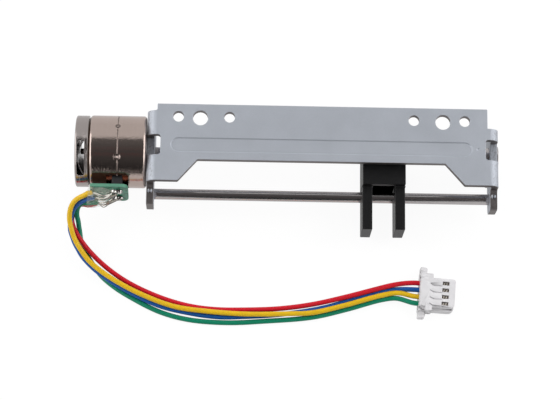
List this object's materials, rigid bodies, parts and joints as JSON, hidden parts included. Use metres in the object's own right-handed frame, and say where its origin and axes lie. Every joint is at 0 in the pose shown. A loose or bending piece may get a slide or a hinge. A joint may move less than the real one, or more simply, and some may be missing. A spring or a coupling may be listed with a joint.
{
  "type": "stepper motor linear slide",
  "caption": "Small stepper motor on a folded steel bracket turns a lead screw that drives a forked plastic slider along a guide rod, with a wire lead and plug.",
  "frame": {"origin": "middle of the underside of the slide itself, without its free wires and plug: halfway along and across it, at the level that its lower edges rest on", "axes": "+X along the screw from the motor to the far end, +Y from the guide rod towards the plate's straight edge, +Z out of the plate"},
  "size_m": [0.0596, 0.0291, 0.01],
  "materials": {
    "zinc_steel": "satin, zinc-plated",
    "bright_steel": "ground",
    "nickel": "polished, nickel-plated",
    "black_acetal": "moulded, low sheen",
    "ferrite": "sintered",
    "brass": "turned",
    "bearing_plastic": "moulded",
    "black_plastic": "moulded",
    "copper": "enamelled copper wire",
    "board_green": "solder mask",
    "solder": "bright solder",
    "glue": "translucent hot glue",
    "white_plastic": "moulded",
    "contact_tin": "tinned bronze",
    "yellow_jacket": "extruded jacket",
    "blue_jacket": "extruded jacket",
    "green_jacket": "extruded jacket",
    "red_jacket": "extruded jacket"
  },
  "bodies": {
    "frame": {"bracket": "zinc_steel", "guide_rod": "bright_steel", "front_bearing": "nickel", "rear_bearing": "bearing_plastic", "end_bearing": "bright_steel", "front_stator_cup": "nickel", "rear_stator_cup": "nickel", "front_inner_yoke": "nickel", "rear_inner_yoke": "nickel", "front_bobbin": "black_plastic", "rear_bobbin": "black_plastic", "front_coil": "copper", "rear_coil": "copper", "rear_end_cap": "nickel", "thrust_spring": "bright_steel", "terminal_block": "black_plastic", "terminal_board": "board_green", "terminal_pin_1": "solder", "terminal_pin_2": "solder", "terminal_pin_3": "solder", "terminal_pin_4": "solder", "solder_joint_1": "solder", "solder_joint_2": "solder", "solder_joint_3": "solder", "solder_joint_4": "solder", "glue_drop": "glue", "wire_yellow": "yellow_jacket", "wire_blue": "blue_jacket", "wire_green": "green_jacket", "wire_red": "red_jacket", "plug_housing": "white_plastic", "contact_1": "contact_tin", "contact_2": "contact_tin", "contact_3": "contact_tin", "contact_4": "contact_tin"},
    "screw": {"lead_screw": "bright_steel", "rotor_magnet": "ferrite", "rotor_hub": "brass"},
    "slider": {"slider": "black_acetal"}
  },
  "joints": [
    {"name": "screw_spin", "type": "hinge", "parent": "frame", "child": "screw", "pos_m": [0.00058, 0.00248, 0.005], "axis": [1, 0, 0], "range_deg": [-3925, 9780]},
    {"name": "slider_slide", "type": "slide", "parent": "frame", "child": "slider", "axis": [1, 0, 0], "range_m": [-0.02714, 0.01087]}
  ],
  "couplings": [
    {"joint": "screw_spin", "follows": "slider_slide", "rad_per_m": -6283.2}
  ]
}
